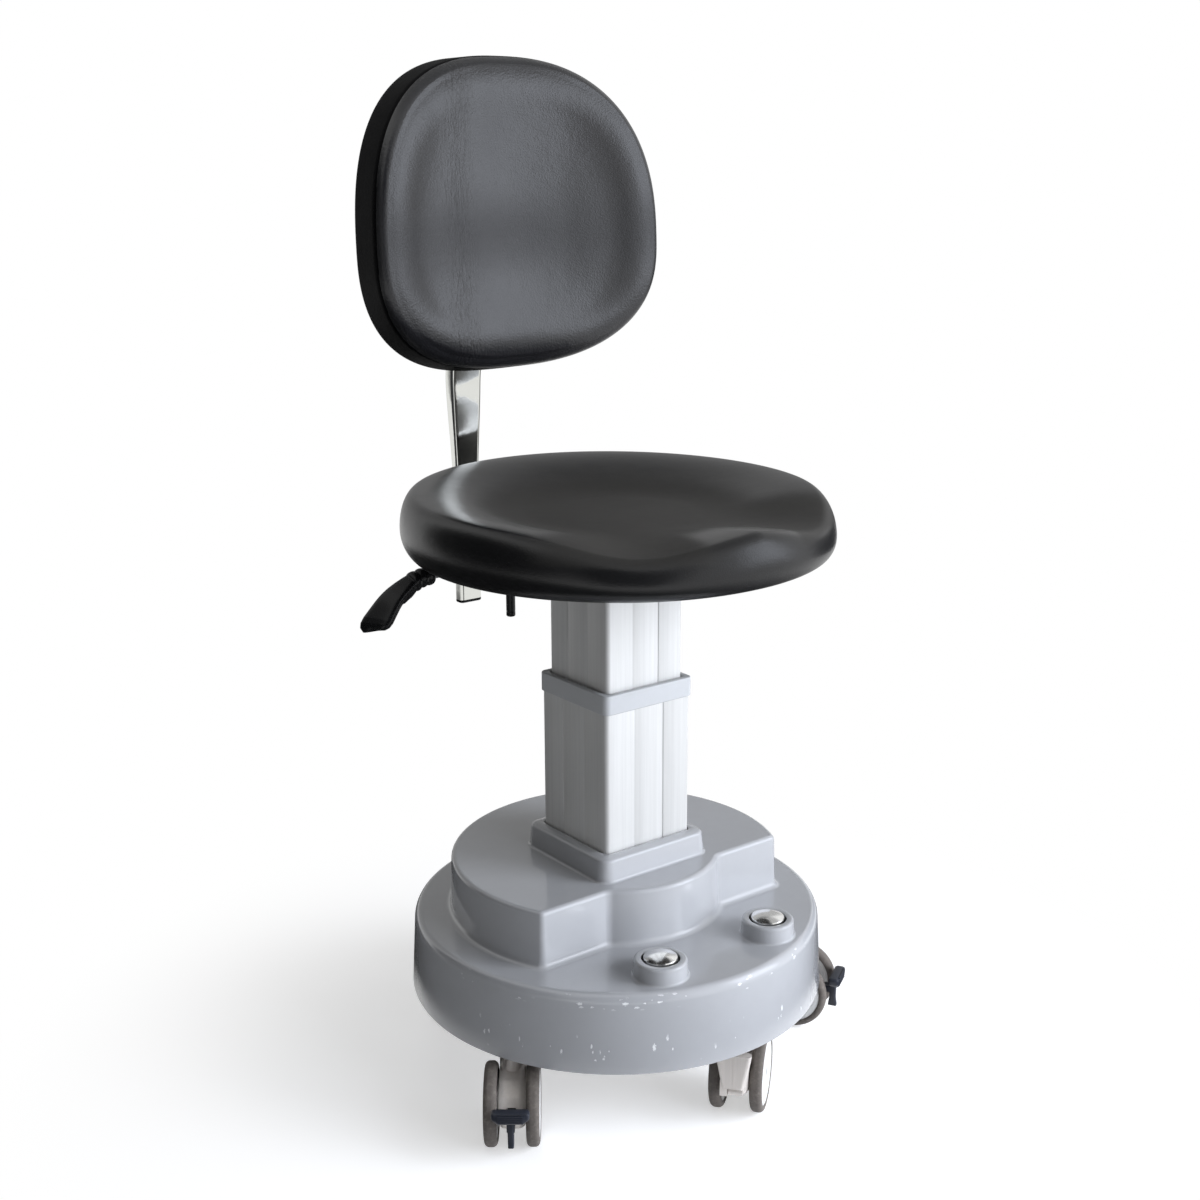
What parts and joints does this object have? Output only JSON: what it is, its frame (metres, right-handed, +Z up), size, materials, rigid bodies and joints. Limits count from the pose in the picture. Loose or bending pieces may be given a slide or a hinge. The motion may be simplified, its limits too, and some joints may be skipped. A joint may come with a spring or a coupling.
{
  "type": "surgeon stool",
  "caption": "Castored surgeon stool with a square electric lift column, round saddle seat and padded, tilting backrest on a chrome post.",
  "frame": {"origin": "on the floor in the middle of the stool's bounding box", "axes": "+Z up; the stool faces -Y and the paddle lever points to -X"},
  "size_m": [0.44, 0.4694, 0.9515],
  "materials": {
    "cover_grey": "glossy moulded shell",
    "collar_grey": "matte moulding",
    "anodised": "satin anodised extrusion",
    "chrome": "bright plate",
    "polished": "polished",
    "nickel": "satin nickel",
    "steel": "bare steel",
    "black_steel": "black powder coat",
    "black_plastic": "glossy black moulding",
    "pedal_plastic": "ribbed moulding",
    "glide_plastic": "plain moulding",
    "tyre": "matte tread",
    "plywood": "plain board",
    "seat_vinyl": "smooth upholstery vinyl",
    "back_vinyl": "fine-grained upholstery vinyl"
  },
  "bodies": {
    "base": {"base_cover": "cover_grey", "base_plate": "steel", "column_foot": "steel", "lower_column": "anodised", "column_collar": "collar_grey", "lift_motor": "black_steel", "lift_gearbox": "steel", "lift_tube": "steel", "battery_pack": "black_plastic", "control_box": "black_steel", "foot_switch_up": "black_plastic", "foot_switch_down": "black_plastic"},
    "lift": {"upper_column": "anodised", "column_glide": "glide_plastic", "lift_rod": "polished", "column_cap": "steel"},
    "seat": {"swivel_hub": "black_steel", "seat_plate": "black_steel", "seat_board": "plywood", "seat_cushion": "seat_vinyl", "tilt_bracket": "black_steel", "tilt_pin": "steel"},
    "tilt": {"tilt_sleeve": "black_steel"},
    "clamp": {"clamp_screw": "black_plastic"},
    "arm": {"back_arm": "black_steel", "post_socket": "black_plastic"},
    "backrest": {"back_post": "chrome", "post_end_cap": "black_plastic", "back_bracket": "black_steel", "back_board": "black_plastic", "back_cushion": "back_vinyl"},
    "lever": {"lever_rod": "steel", "lever_grip": "black_plastic"},
    "button_up": {"foot_button_up": "polished"},
    "button_down": {"foot_button_down": "polished"},
    "caster_1": {"caster_1_fork": "nickel", "caster_1_axle": "steel"},
    "caster_1_left": {"caster_1_wheel_left": "tyre"},
    "caster_1_right": {"caster_1_wheel_right": "tyre"},
    "caster_1_lock": {"caster_1_pedal": "pedal_plastic"},
    "caster_2": {"caster_2_fork": "nickel", "caster_2_axle": "steel"},
    "caster_2_left": {"caster_2_wheel_left": "tyre"},
    "caster_2_right": {"caster_2_wheel_right": "tyre"},
    "caster_2_lock": {"caster_2_pedal": "pedal_plastic"},
    "caster_3": {"caster_3_fork": "nickel", "caster_3_axle": "steel"},
    "caster_3_left": {"caster_3_wheel_left": "tyre"},
    "caster_3_right": {"caster_3_wheel_right": "tyre"},
    "caster_3_lock": {"caster_3_pedal": "pedal_plastic"},
    "caster_4": {"caster_4_fork": "nickel", "caster_4_axle": "steel"},
    "caster_4_left": {"caster_4_wheel_left": "tyre"},
    "caster_4_right": {"caster_4_wheel_right": "tyre"},
    "caster_4_lock": {"caster_4_pedal": "pedal_plastic"},
    "caster_5": {"caster_5_fork": "nickel", "caster_5_axle": "steel"},
    "caster_5_left": {"caster_5_wheel_left": "tyre"},
    "caster_5_right": {"caster_5_wheel_right": "tyre"},
    "caster_5_lock": {"caster_5_pedal": "pedal_plastic"}
  },
  "joints": [
    {"name": "lift_slide", "type": "slide", "parent": "base", "child": "lift", "axis": [0, 0, 1], "range_m": [-0.07, 0.11]},
    {"name": "seat_swivel", "type": "hinge", "parent": "lift", "child": "seat", "pos_m": [0.00124, -0.03115, 0.4846], "axis": [0, 0, 1], "continuous": true},
    {"name": "back_tilt", "type": "hinge", "parent": "seat", "child": "tilt", "pos_m": [0.00124, 0.05385, 0.4757], "axis": [1, 0, 0], "range_deg": [-12, 3]},
    {"name": "clamp_turn", "type": "hinge", "parent": "tilt", "child": "clamp", "pos_m": [0.00124, 0.14285, 0.4757], "axis": [0, 0, 1], "range_deg": [-180, 180]},
    {"name": "back_depth", "type": "slide", "parent": "tilt", "child": "arm", "axis": [0, 1, 0], "range_m": [-0.015, 0.025]},
    {"name": "back_height", "type": "slide", "parent": "arm", "child": "backrest", "axis": [0, 0, 1], "range_m": [-0.033, 0.035]},
    {"name": "lever_lift", "type": "hinge", "parent": "seat", "child": "lever", "pos_m": [-0.02826, 0.09885, 0.477], "axis": [0, 1, 0], "range_deg": [0, 6], "stiffness_Nm_per_rad": 8, "springref_deg": -3.44},
    {"name": "button_up_press", "type": "slide", "parent": "base", "child": "button_up", "axis": [0, 0, -1], "range_m": [0, 0.005], "stiffness_N_per_m": 900, "springref_m": -0.002},
    {"name": "button_down_press", "type": "slide", "parent": "base", "child": "button_down", "axis": [0, 0, -1], "range_m": [0, 0.005], "stiffness_N_per_m": 900, "springref_m": -0.002},
    {"name": "caster_1_swivel", "type": "hinge", "parent": "base", "child": "caster_1", "pos_m": [0.0058, -0.20509, 0.095], "axis": [0, 0, 1], "continuous": true},
    {"name": "caster_1_left_spin", "type": "hinge", "parent": "caster_1", "child": "caster_1_left", "pos_m": [0.02458, -0.19015, 0.0375], "axis": [0.6225, -0.7826, 0], "continuous": true},
    {"name": "caster_1_right_spin", "type": "hinge", "parent": "caster_1", "child": "caster_1_right", "pos_m": [0.02458, -0.19015, 0.0375], "axis": [0.6225, -0.7826, 0], "continuous": true},
    {"name": "caster_1_lock_tip", "type": "hinge", "parent": "caster_1", "child": "caster_1_lock", "pos_m": [0.0371, -0.18019, 0.0615], "axis": [0.6225, -0.7826, 0], "range_deg": [-9, 0]},
    {"name": "caster_2_swivel", "type": "hinge", "parent": "base", "child": "caster_2", "pos_m": [0.16808, -0.08057, 0.095], "axis": [0, 0, 1], "continuous": true},
    {"name": "caster_2_left_spin", "type": "hinge", "parent": "caster_2", "child": "caster_2_left", "pos_m": [0.18044, -0.10114, 0.0375], "axis": [-0.8572, -0.515, 0], "continuous": true},
    {"name": "caster_2_right_spin", "type": "hinge", "parent": "caster_2", "child": "caster_2_right", "pos_m": [0.18044, -0.10114, 0.0375], "axis": [-0.8572, -0.515, 0], "continuous": true},
    {"name": "caster_2_lock_tip", "type": "hinge", "parent": "caster_2", "child": "caster_2_lock", "pos_m": [0.18868, -0.11486, 0.0615], "axis": [-0.8572, -0.515, 0], "range_deg": [-9, 0]},
    {"name": "caster_3_swivel", "type": "hinge", "parent": "base", "child": "caster_3", "pos_m": [0.0998, 0.11225, 0.095], "axis": [0, 0, 1], "continuous": true},
    {"name": "caster_3_left_spin", "type": "hinge", "parent": "caster_3", "child": "caster_3_left", "pos_m": [0.10601, 0.13543, 0.0375], "axis": [0.9659, -0.2588, 0], "continuous": true},
    {"name": "caster_3_right_spin", "type": "hinge", "parent": "caster_3", "child": "caster_3_right", "pos_m": [0.10601, 0.13543, 0.0375], "axis": [0.9659, -0.2588, 0], "continuous": true},
    {"name": "caster_3_lock_tip", "type": "hinge", "parent": "caster_3", "child": "caster_3_lock", "pos_m": [0.11015, 0.15088, 0.0615], "axis": [0.9659, -0.2588, 0], "range_deg": [-9, 0]},
    {"name": "caster_4_swivel", "type": "hinge", "parent": "base", "child": "caster_4", "pos_m": [-0.10468, 0.10689, 0.095], "axis": [0, 0, 1], "continuous": true},
    {"name": "caster_4_left_spin", "type": "hinge", "parent": "caster_4", "child": "caster_4_left", "pos_m": [-0.08213, 0.1151, 0.0375], "axis": [0.342, -0.9397, 0], "continuous": true},
    {"name": "caster_4_right_spin", "type": "hinge", "parent": "caster_4", "child": "caster_4_right", "pos_m": [-0.08213, 0.1151, 0.0375], "axis": [0.342, -0.9397, 0], "continuous": true},
    {"name": "caster_4_lock_tip", "type": "hinge", "parent": "caster_4", "child": "caster_4_lock", "pos_m": [-0.0671, 0.12057, 0.0615], "axis": [0.342, -0.9397, 0], "range_deg": [-9, 0]},
    {"name": "caster_5_swivel", "type": "hinge", "parent": "base", "child": "caster_5", "pos_m": [-0.16278, -0.08923, 0.095], "axis": [0, 0, 1], "continuous": true},
    {"name": "caster_5_left_spin", "type": "hinge", "parent": "caster_5", "child": "caster_5_left", "pos_m": [-0.17722, -0.1084, 0.0375], "axis": [-0.7986, 0.6018, 0], "continuous": true},
    {"name": "caster_5_right_spin", "type": "hinge", "parent": "caster_5", "child": "caster_5_right", "pos_m": [-0.17722, -0.1084, 0.0375], "axis": [-0.7986, 0.6018, 0], "continuous": true},
    {"name": "caster_5_lock_tip", "type": "hinge", "parent": "caster_5", "child": "caster_5_lock", "pos_m": [-0.18685, -0.12118, 0.0615], "axis": [-0.7986, 0.6018, 0], "range_deg": [-9, 0]}
  ]
}
